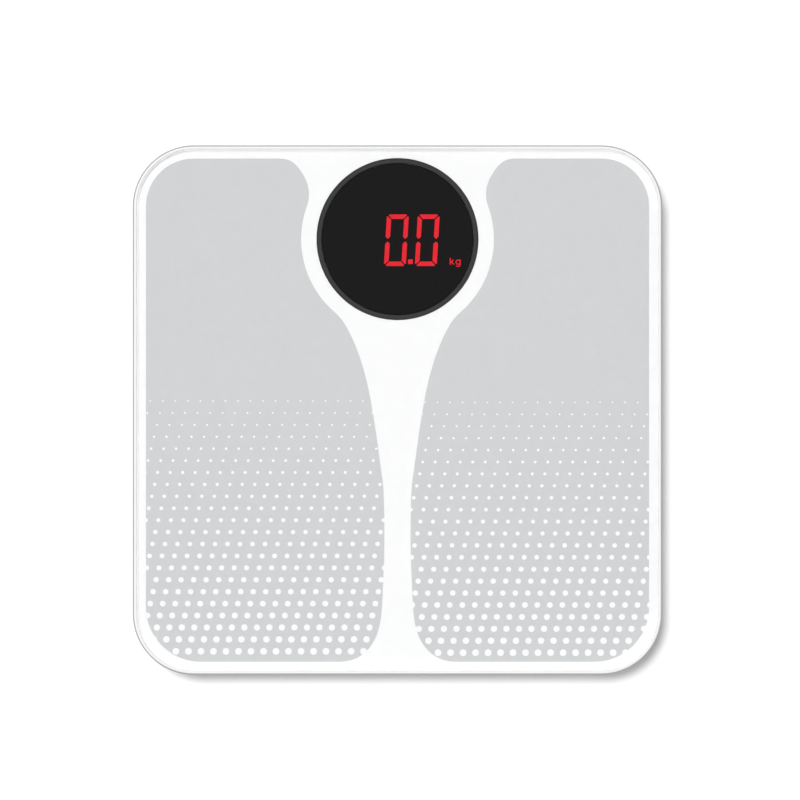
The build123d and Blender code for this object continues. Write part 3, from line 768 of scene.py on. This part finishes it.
class Bench:
    """Where new pieces are modelled, one at a time."""

    SEAM: ClassVar[float] = 0.0005 * MM

    @staticmethod
    def take(piece: Piece) -> None:
        """Takes one piece to work on, with nothing else selected.

        Args:
            piece: The piece.
        """
        bpy.ops.object.select_all(action="DESELECT")
        piece.select_set(True)
        bpy.context.view_layer.objects.active = piece

    @staticmethod
    def edit(piece: Piece, work: Callable[[], None]) -> None:
        """Works on a piece's whole mesh in edit mode.

        Args:
            piece: The piece.
            work: What is done while everything in it is selected.
        """
        Bench.take(piece)
        bpy.ops.object.mode_set(mode="EDIT")
        bpy.ops.mesh.select_all(action="SELECT")
        work()
        bpy.ops.object.mode_set(mode="OBJECT")

    @staticmethod
    def pick_faces(piece: Piece, test: Callable[[Face], bool]) -> None:
        """Selects faces in edit mode by their place or direction.

        Args:
            piece: The piece that is in edit mode.
            test: Says which faces are selected.
        """
        bpy.ops.mesh.select_mode(type="FACE")
        work = bmesh.from_edit_mesh(piece.data)
        for face in work.faces:
            face.select_set(test(face))
        work.select_flush_mode()
        bmesh.update_edit_mesh(piece.data)

    @staticmethod
    def modify(piece: Piece, kind: str, settings: dict[str, Any]) -> None:
        """Adds a modifier and applies it.

        Args:
            piece: The piece that is changed.
            kind: The modifier's type.
            settings: Its settings.
        """
        modifier = piece.modifiers.new(kind.lower(), kind)
        for key, value in settings.items():
            setattr(modifier, key, value)
        Bench.take(piece)
        bpy.ops.object.modifier_apply(modifier=modifier.name)

    @staticmethod
    def lift(height: float) -> None:
        """Draws what is selected up into a wall, in edit mode."""
        bpy.ops.mesh.extrude_region_move(TRANSFORM_OT_translate={"value": (0.0, 0.0, height)})

    @staticmethod
    def combine(piece: Piece, other: Piece, operation: str) -> None:
        """Unites a piece with another or cuts it to its shape, and uses the other up."""
        Bench.modify(piece, "BOOLEAN", {"operation": operation, "object": other, "solver": "EXACT"})
        bpy.data.objects.remove(other)

    @staticmethod
    def join(pieces: list[Piece], name: str) -> Piece:
        """Joins pieces into one.

        Args:
            pieces: The pieces, the first of which takes in the others.
            name: The joined piece's name.

        Returns:
            The joined piece.
        """
        Bench.take(pieces[0])
        for piece in pieces[1:]:
            piece.select_set(True)
        bpy.ops.object.join()
        pieces[0].name = name
        return pieces[0]

    @staticmethod
    def settle(piece: Piece) -> None:
        """Moves a piece's place, turn and size into its mesh."""
        Bench.take(piece)
        bpy.ops.object.transform_apply(location=True, rotation=True, scale=True)

    @staticmethod
    def outward() -> None:
        """Closes seams and turns all faces outwards, in edit mode."""
        bpy.ops.mesh.select_all(action="SELECT")
        bpy.ops.mesh.remove_doubles(threshold=Bench.SEAM)
        bpy.ops.mesh.normals_make_consistent(inside=False)


# Sub-assemblies


class SubAssembly:
    """Pieces that are built and dressed together."""

    def dress(self, **finishes: Finish) -> None:
        """Gives pieces of the frame their finishes.

        Args:
            finishes: The finishes by the pieces' names.
        """
        for node, finish in finishes.items():
            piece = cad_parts[node]
            if not piece.material_slots:
                piece.data.materials.append(None)
            for slot in piece.material_slots:
                slot.material = finish.material()
            log.info("dressed %s in %s", node, finish.name)

    def fit(self, piece: Piece, slot: str, finish: Finish) -> None:
        """Gives a new piece its finish and fixes it to the scale's base.

        Args:
            piece: The new piece, in its place.
            slot: The material slot that its finish belongs to; it is not used.
            finish: Its finish.
        """
        piece.data.materials.clear()
        piece.data.materials.append(finish.material())
        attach(piece, BASE_BODY)
        log.info("built %s, %d faces, in %s", piece.name, len(piece.data.polygons), finish.name)


@dataclass
class DotField(SubAssembly):
    """White dots over the front of one foot zone, larger row by row towards the user."""

    side: Side
    first: Spot
    finish: Finish
    rows: int = 22
    row_pitch: float = 6.761 * MM
    dot_pitch: float = 7.095 * MM
    row_shift: float = 1.674 * MM
    smallest: float = 0.95 * MM
    largest: float = 3.90 * MM
    height: float = 0.05 * MM
    sink: float = 0.01 * MM
    edge: float = 0.06 * MM
    edge_rise: float = 0.01 * MM
    corners: int = 20
    spare: int = 2
    flat: float = 0.5
    cutter_stretch: float = 40.0

    def build(self) -> None:
        """Models one dot, repeats it along each row and trims the rows to the zone."""
        zone = f"{self.side.value}_foot_zone"
        low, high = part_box(zone)
        dot = self._dot(high.z - self.sink)
        rows = [self._row(dot, row, low.x, high.x) for row in range(self.rows)]
        bpy.data.objects.remove(dot)
        field = Bench.join(rows, f"{self.side.value}_zone_dots")
        self._trim(field, zone)
        self.fit(field, "white_print", self.finish)

    def _dot(self, base: float) -> Piece:
        """One dot of the largest size at the origin, with an eased rim.

        Args:
            base: The height of its underside.

        Returns:
            The dot.
        """
        bpy.ops.mesh.primitive_circle_add(vertices=self.corners, radius=self.largest / 2,
                                          fill_type="NGON", location=(0.0, 0.0, base))
        dot = bpy.context.object
        Bench.settle(dot)

        def raise_rim() -> None:
            """Lifts the disc and eases the edge of its top."""
            Bench.lift(self.height + self.sink)
            Bench.pick_faces(dot, lambda face: face.calc_center_median().z > base + self.height / 2
                             and abs(face.normal.z) > self.flat)
            bpy.ops.mesh.inset(thickness=self.edge, depth=self.edge_rise)
            Bench.outward()

        Bench.edit(dot, raise_rim)
        return dot

    def _row(self, dot: Piece, row: int, low: float, high: float) -> Piece:
        """One row of dots across the zone.

        Args:
            dot: The dot that is repeated.
            row: The row's number from the back.
            low: The zone's lowest X.
            high: The zone's highest X.

        Returns:
            The row.
        """
        size = self.smallest + (self.largest - self.smallest) * row / (self.rows - 1)
        lattice = self.first[0] - row * self.row_shift
        start = lattice + math.floor((low - lattice) / self.dot_pitch) * self.dot_pitch
        count = int((high - start) / self.dot_pitch) + self.spare
        scale = size / self.largest
        Bench.take(dot)
        bpy.ops.object.duplicate(linked=False)
        piece = bpy.context.object
        bpy.ops.transform.resize(value=(scale, scale, 1.0), center_override=(0.0, 0.0, 0.0))
        bpy.ops.transform.translate(value=(start, self.first[1] - row * self.row_pitch, 0.0))
        Bench.settle(piece)
        Bench.modify(piece, "ARRAY", {
            "count": count, "use_relative_offset": False, "use_constant_offset": True,
            "constant_offset_displace": (self.dot_pitch, 0.0, 0.0),
        })
        return piece

    def _trim(self, field: Piece, zone: str) -> None:
        """Cuts the dots off at the zone's outline.

        Args:
            field: All the rows.
            zone: The zone's name.
        """
        cutter = bpy.data.objects.new("zone_cutter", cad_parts[zone].data.copy())
        bpy.context.collection.objects.link(cutter)
        low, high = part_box(zone)
        middle = tuple((low + high) / 2)

        def stretch() -> None:
            """Makes a tall block of the zone's outline."""
            Bench.outward()
            bpy.ops.transform.resize(value=(1.0, 1.0, self.cutter_stretch), center_override=middle)

        Bench.edit(cutter, stretch)
        Bench.combine(field, cutter, "INTERSECT")


@dataclass
class GlassSeal(SubAssembly):
    """The bead of sealant that fills the gap between the glass and the lip."""

    finish: Finish
    gap: float = 0.4 * MM
    pocket: float = 2.0 * MM
    corner: float = 32.7 * MM
    corner_steps: int = 24
    low: float = 20.2 * MM
    high: float = 24.6 * MM
    ease: float = 0.12 * MM
    ease_steps: int = 2

    def build(self) -> None:
        """Rounds a square, keeps a thin ring of it and raises that."""
        left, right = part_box("base_tray")
        width = right.x - left.x - 2 * self.pocket
        bpy.ops.mesh.primitive_plane_add(size=width, location=(0.0, 0.0, self.low))
        bead = bpy.context.object
        bead.name = "glass_seal"
        Bench.settle(bead)

        def shape() -> None:
            """Bevels the corners, insets and raises the ring, and eases its top."""
            bpy.ops.mesh.bevel(offset=self.corner, segments=self.corner_steps, affect="VERTICES")
            bpy.ops.mesh.select_all(action="SELECT")
            bpy.ops.mesh.inset(thickness=self.gap)
            bpy.ops.mesh.delete(type="ONLY_FACE")
            bpy.ops.mesh.select_all(action="SELECT")
            Bench.lift(self.high - self.low)
            bpy.ops.mesh.bevel(offset=self.ease, segments=self.ease_steps, affect="EDGES")
            Bench.outward()

        Bench.edit(bead, shape)
        self.fit(bead, "white_shell", self.finish)


@dataclass
class Platform(SubAssembly):
    """The glass to stand on, with the film, foot zones and dots behind it."""

    white: ClassVar[ScreenInk] = ScreenInk("white_ink", (0.97, 0.97, 0.97))
    grey: ClassVar[ScreenInk] = ScreenInk("grey_ink", (0.645, 0.651, 0.665))
    left_dot: Spot = (-133.1 * MM, 5.17 * MM)
    right_dot: Spot = (29.75 * MM, 4.38 * MM)

    def build(self) -> None:
        """Dresses the glass and its prints, and lays down the dots."""
        self.dress(
            glass_platform=ClearGlass("tempered_glass"),
            print_film=self.white,
            left_foot_zone=self.grey,
            right_foot_zone=self.grey,
            mounting_tape=Foam("tape_foam", (0.8, 0.8, 0.78)),
        )
        GlassSeal(Silicone("white_sealant", (0.88, 0.88, 0.87))).build()
        DotField(Side.LEFT, self.left_dot, self.white).build()
        DotField(Side.RIGHT, self.right_dot, self.white).build()


@dataclass
class UnitLetters:
    """The letters k and g beside the digits, built up from bars and rings."""

    base: float
    left: float = 29.62 * MM
    foot: float = 82.4 * MM
    stroke: float = 0.62 * MM
    height: float = 0.05 * MM
    ascender: float = 3.95 * MM
    middle: float = 3.0 * MM
    fork: float = 1.15 * MM
    leg_root: float = 0.95 * MM
    leg_rise: float = 1.75 * MM
    k_width: float = 2.7 * MM
    bowl_x: float = 4.75 * MM
    bowl_radius: float = 1.5 * MM
    hook_squash: float = 0.8
    hook_end: float = -150.0
    overlap: float = 0.1 * MM
    sides: int = 40

    def build(self) -> Piece:
        """Makes each stroke and unites them.

        Returns:
            Both letters as one piece.
        """
        half = self.stroke / 2
        stem = self.bowl_x + self.bowl_radius - half
        strokes = [
            self._bar((half, 0.0), (half, self.ascender)),
            self._bar((half, self.fork), (self.k_width - self.stroke, self.middle - half / 2)),
            self._bar((self.leg_root, self.leg_rise), (self.k_width - half, half / 2)),
            self._ring((self.bowl_x, self.middle / 2)),
            self._bar((stem, -self.overlap), (stem, self.middle)),
            self._ring((self.bowl_x, 0.0), self.hook_squash, self.hook_end),
        ]
        letters = strokes[0]
        for stroke in strokes[1:]:
            Bench.combine(letters, stroke, "UNION")
        Bench.edit(letters, Bench.outward)
        letters.name = "unit_letters"
        return letters

    def _raise(self, piece: Piece) -> Piece:
        """Gives a flat stroke its thickness.

        Args:
            piece: The flat stroke.

        Returns:
            The same piece.
        """
        def thicken() -> None:
            """Lifts the stroke's top."""
            Bench.lift(self.height)
            Bench.outward()

        Bench.settle(piece)
        Bench.edit(piece, thicken)
        return piece

    def _place(self, spot: Spot) -> Point:
        """A spot's place in the frame, from the foot of the k."""
        return self.left + spot[0], self.foot + spot[1], self.base

    def _bar(self, start: Spot, end: Spot) -> Piece:
        """A straight stroke.

        Args:
            start: Where its middle line starts, from the foot of the k.
            end: Where its middle line ends.

        Returns:
            The stroke.
        """
        run, rise = end[0] - start[0], end[1] - start[1]
        place = self._place((start[0] + run / 2, start[1] + rise / 2))
        turn = (0.0, 0.0, math.atan2(rise, run))
        bpy.ops.mesh.primitive_plane_add(size=1.0, location=place, rotation=turn)
        bar = bpy.context.object
        bar.scale = (math.hypot(run, rise), self.stroke, 1.0)
        return self._raise(bar)

    def _ring(self, centre: Spot, squash: float = 1.0, last: float | None = None) -> Piece:
        """A round stroke, either whole or only below its middle as far as an angle.

        Args:
            centre: The ring's middle, from the foot of the k.
            squash: How far it is flattened.
            last: The angle in degrees, clockwise below nought, at which it ends.

        Returns:
            The stroke.
        """
        place = self._place(centre)
        bpy.ops.mesh.primitive_circle_add(vertices=self.sides, radius=self.bowl_radius,
                                          fill_type="NOTHING", location=place)
        ring = bpy.context.object
        inner = 1.0 - self.stroke / self.bowl_radius

        def hollow() -> None:
            """Draws the ring in and takes away what an open ring leaves out."""
            bpy.ops.mesh.extrude_edges_move()
            bpy.ops.transform.resize(value=(inner, inner, 1.0), center_override=place)
            if last is not None:
                Bench.pick_faces(ring, lambda face: not last < self._angle(face) < 0.0)
                bpy.ops.mesh.delete(type="FACE")

        Bench.edit(ring, hollow)
        ring.scale = (1.0, squash, 1.0)
        return self._raise(ring)

    @staticmethod
    def _angle(face: Face) -> float:
        """The angle of a face about its piece's own middle, in degrees."""
        middle = face.calc_center_median()
        return math.degrees(math.atan2(middle.y, middle.x))


@dataclass
class Display(SubAssembly):
    """The round window with its ring, the lit digits and the unit beside them."""

    ring_tones: Stops = (
        (0.0, (0.0085, 0.0085, 0.009)),
        (0.941, (0.0085, 0.0085, 0.009)),
        (0.945, (0.05, 0.05, 0.05)),
        (0.985, (0.047, 0.047, 0.047)),
        (0.99, (0.035, 0.035, 0.035)),
        (1.0, (0.033, 0.033, 0.033)),
    )
    window_tones: Stops = (
        (0.0, (0.0085, 0.0075, 0.008)),
        (0.92, (0.0085, 0.0075, 0.008)),
        (0.935, (0.004, 0.004, 0.004)),
        (1.0, (0.004, 0.004, 0.004)),
    )
    window_roughness: float = 0.3
    red: LitRed = LitRed("lit_red", (0.86, 0.022, 0.036))

    def build(self) -> None:
        """Dresses the display and makes the unit's letters."""
        low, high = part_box("display_ring")
        centre = ((low.x + high.x) / 2, (low.y + high.y) / 2, high.z)
        reach = (high.x - low.x) / 2
        window = DisplayInk("window_ink", centre, reach, self.window_tones, self.window_roughness)
        self.dress(
            display_ring=DisplayInk("ring_ink", centre, reach, self.ring_tones),
            display_window=window,
            digit_segments=self.red,
            segment_leds=LedChip("led_chip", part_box("segment_leds")[1].z),
            led_module=MouldedPlastic("module_white", (0.8, 0.8, 0.78), 0.5),
            light_gasket=Foam("gasket_foam", (0.02, 0.02, 0.022)),
        )
        self.fit(UnitLetters(high.z).build(), "red_segments", self.red)


@dataclass
class Tray(SubAssembly):
    """The moulded tray with its trim, battery door and unit button."""

    shell: MouldedPlastic = MouldedPlastic("shell_plastic", (0.9, 0.9, 0.9))
    trim: MouldedPlastic = MouldedPlastic("trim_plastic", (0.4, 0.4, 0.41), 0.5)
    button: MouldedPlastic = MouldedPlastic("button_plastic", (0.55, 0.56, 0.58), 0.5)

    def build(self) -> None:
        """Dresses the tray and what moves in its floor."""
        self.dress(base_tray=self.shell, edge_trim=self.trim, battery_door=self.shell,
                   unit_button=self.button)


@dataclass
class Electronics(SubAssembly):
    """The main board with its parts, the switch and the wires."""

    chip_half: float = 5.0 * MM

    def build(self) -> None:
        """Dresses the board, what sits on it and what leads to it."""
        low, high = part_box("controller_chip")
        middle = tuple((low + high) / 2)
        jacket = MouldedPlastic("white_jacket", (0.8, 0.8, 0.79), 0.35)
        self.dress(
            main_board=SolderMask("solder_mask", (0.012, 0.11, 0.045), (0.03, 0.2, 0.075)),
            controller_chip=ChipCase("chip_case", middle, self.chip_half),
            board_components=MouldedPlastic("part_brown", (0.2, 0.12, 0.07), 0.4),
            board_screws=RolledSteel("screw_zinc", (0.7, 0.7, 0.68), 0.28),
            wire_headers=MouldedPlastic("header_cream", (0.78, 0.75, 0.66), 0.45),
            tact_switch=MouldedPlastic("switch_case", (0.02, 0.02, 0.022), 0.45),
            switch_plunger=MouldedPlastic("plunger_plastic", (0.75, 0.75, 0.73), 0.4),
            positive_lead=MouldedPlastic("red_jacket", (0.55, 0.02, 0.02), 0.35),
            negative_lead=MouldedPlastic("black_jacket", (0.015, 0.015, 0.015), 0.35),
            **{f"{foot.value}_wires": jacket for foot in Foot},
        )


@dataclass
class Batteries(SubAssembly):
    """Two cells with their contacts and springs."""

    def build(self) -> None:
        """Dresses the cells end for end, and the contacts."""
        rear_low, rear_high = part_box("rear_battery")
        front_low, front_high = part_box("front_battery")
        nickel = RolledSteel("nickel_sheet", (0.74, 0.72, 0.66), 0.25)
        self.dress(
            rear_battery=BatterySleeve("rear_sleeve", rear_high.x, rear_low.x),
            front_battery=BatterySleeve("front_sleeve", front_low.x, front_high.x),
            positive_contact=nickel,
            negative_contact=nickel,
            bridge_contact=nickel,
            contact_springs=nickel,
        )


@dataclass
class Feet(SubAssembly):
    """The four feet: cap, rubber pad, load cell and strain gauge."""

    cap: MouldedPlastic = MouldedPlastic("cap_plastic", (0.62, 0.63, 0.64), 0.5)
    pad: Rubber = Rubber("soft_rubber", (0.3, 0.3, 0.31), (0.5, 0.5, 0.516))
    steel: RolledSteel = RolledSteel("spring_steel", (0.56, 0.56, 0.55), 0.34)
    coat: Silicone = Silicone("gauge_coat", (0.8, 0.79, 0.74))

    def build(self) -> None:
        """Dresses each foot alike."""
        finishes = {"foot_cap": self.cap, "foot_pad": self.pad, "load_cell": self.steel,
                    "strain_gauge": self.coat}
        for foot in Foot:
            self.dress(**{f"{foot.value}_{part}": finish for part, finish in finishes.items()})


# Studio


@dataclass(frozen=True)
class FloorPaint(Finish):
    """A white floor that keeps shadows and can be looked through from below."""

    shade: float = 0.86
    glow: float = 0.08
    bounce: float = 0.3

    def paint(self, shading: Shading) -> Socket:
        """Matt paint that looks white, and is clear to lamps and from its back.

        Args:
            shading: The node tree.

        Returns:
            The shader.
        """
        matt = shading.shader("ShaderNodeBsdfDiffuse", {"Color": (self.shade,) * 3})
        light = shading.shader("ShaderNodeEmission", {"Strength": self.glow})
        bright = shading.shader("ShaderNodeAddShader", {0: matt, 1: light})
        dim = shading.shader("ShaderNodeBsdfDiffuse", {"Color": (self.bounce,) * 3})
        clear = shading.shader("ShaderNodeBsdfTransparent")
        seen = shading.ray(Ray.CAMERA) + shading.ray(Ray.GLOSSY) + shading.ray(Ray.TRANSMISSION)
        back = shading.number("ShaderNodeNewGeometry", "Backfacing")
        through = shading.either(back, shading.either(seen, dim, bright), clear)
        return shading.either(shading.ray(Ray.SHADOW), through, clear)


@dataclass
class Studio:
    """Floor, lamps, sky and camera."""

    photo_pixels: float = 800.0
    pixel: float = 0.567 * MM
    centre_x: float = 397.5
    centre_y: float = 410.1
    print_height: float = 22.0 * MM
    lens: float = 150.0
    sensor: float = 36.0
    floor_size: float = 24.0
    key_level: float = 0.82
    key_right: float = 0.175
    key_front: float = 0.22
    key_spread: float = 15.0
    glass_lean: float = 0.5
    print_level: float = 0.79
    prints: tuple[str, ...] = ("print_film", "left_foot_zone", "right_foot_zone", "left_zone_dots",
                               "right_zone_dots")
    under_heading: Point = (0.55, 0.4, 1.0)
    under_level: float = 0.6
    under_spread: float = 30.0
    horizon: float = 0.5
    sky: Stops = (
        (0.45, (0.12, 0.12, 0.12)),
        (0.5, (0.85, 0.85, 0.85)),
        (0.6, (0.6, 0.6, 0.6)),
        (0.75, (0.4, 0.4, 0.4)),
        (0.925, (0.25, 0.25, 0.25)),
        (0.98, (0.08, 0.08, 0.08)),
    )

    def build(self) -> None:
        """Sets up the studio."""
        bpy.context.scene.view_settings.view_transform = "Standard"
        self._floor()
        self._key()
        self._sun("under_lamp", self.under_heading, self.under_level, self.under_spread)
        self._sky()
        self._camera()

    def _floor(self) -> None:
        """A wide floor under the feet."""
        bpy.ops.mesh.primitive_plane_add(size=self.floor_size, location=(0.0, 0.0, 0.0))
        floor = bpy.context.object
        floor.name = "floor"
        floor.data.materials.append(FloorPaint("floor_paint").material())

    def _key(self) -> None:
        """The key lamp, and a twin for the prints that leans less, as light does in glass."""
        straight = (self.key_right, -self.key_front, -1.0)
        bent = (self.key_right * self.glass_lean, -self.key_front * self.glass_lean, -1.0)
        key = self._sun("key_lamp", straight, self.key_level, self.key_spread)
        twin = self._sun("print_lamp", bent, self.print_level, self.key_spread)
        for lamp, share in ((key, Share.PASSES_BY), (twin, Share.LIGHTS_ONLY)):
            group = bpy.data.collections.new(lamp.name)
            for name in self.prints:
                group.objects.link(bpy.data.objects[name])
            for row in group.collection_objects:
                row.light_linking.link_state = share.value
            lamp.light_linking.receiver_collection = group

    @staticmethod
    def _sun(name: str, heading: Point, level: float, spread: float) -> Piece:
        """A wide distant lamp.

        Args:
            name: The lamp's name.
            heading: The way its light goes.
            level: How bright it makes a white face that looks straight at it.
            spread: How wide it looks, in degrees.

        Returns:
            The lamp.
        """
        lamp = bpy.data.lights.new(name, "SUN")
        lamp.energy = level * math.pi
        lamp.angle = math.radians(spread)
        holder = bpy.data.objects.new(name, lamp)
        holder.rotation_euler = Vector(heading).to_track_quat("-Z", "Y").to_euler()
        holder.visible_glossy = False
        bpy.context.scene.collection.objects.link(holder)
        return holder

    def _sky(self) -> None:
        """A dome that is bright along the horizon, and dim overhead and below."""
        dome = Shading(bpy.data.worlds.new("dome"), "ShaderNodeOutputWorld")
        up = dome.parts(dome.node("ShaderNodeTexCoord").outputs["Generated"])[2]
        tone = dome.ramp(self.horizon + self.horizon * up, self.sky)
        bpy.context.scene.world = dome.finish(dome.shader("ShaderNodeBackground", {"Color": tone}))

    def _camera(self) -> None:
        """Looks straight down, with the scale where the photograph has it."""
        camera = bpy.data.cameras.new("camera")
        camera.lens = self.lens
        camera.sensor_width = self.sensor
        holder = bpy.data.objects.new("camera", camera)
        distance = self.photo_pixels * self.pixel * self.lens / self.sensor
        half = self.photo_pixels / 2
        holder.location = ((half - self.centre_x) * self.pixel, (self.centre_y - half) * self.pixel,
                           self.print_height + distance)
        bpy.context.scene.collection.objects.link(holder)
        bpy.context.scene.camera = holder


def main() -> None:
    """Builds every sub-assembly in order, then the studio round them."""
    for assembly in (Platform(), Display(), Tray(), Electronics(), Batteries(), Feet()):
        log.info("sub-assembly %s", type(assembly).__name__)
        assembly.build()
    Studio().build()


if __name__ == "__main__":
    main()
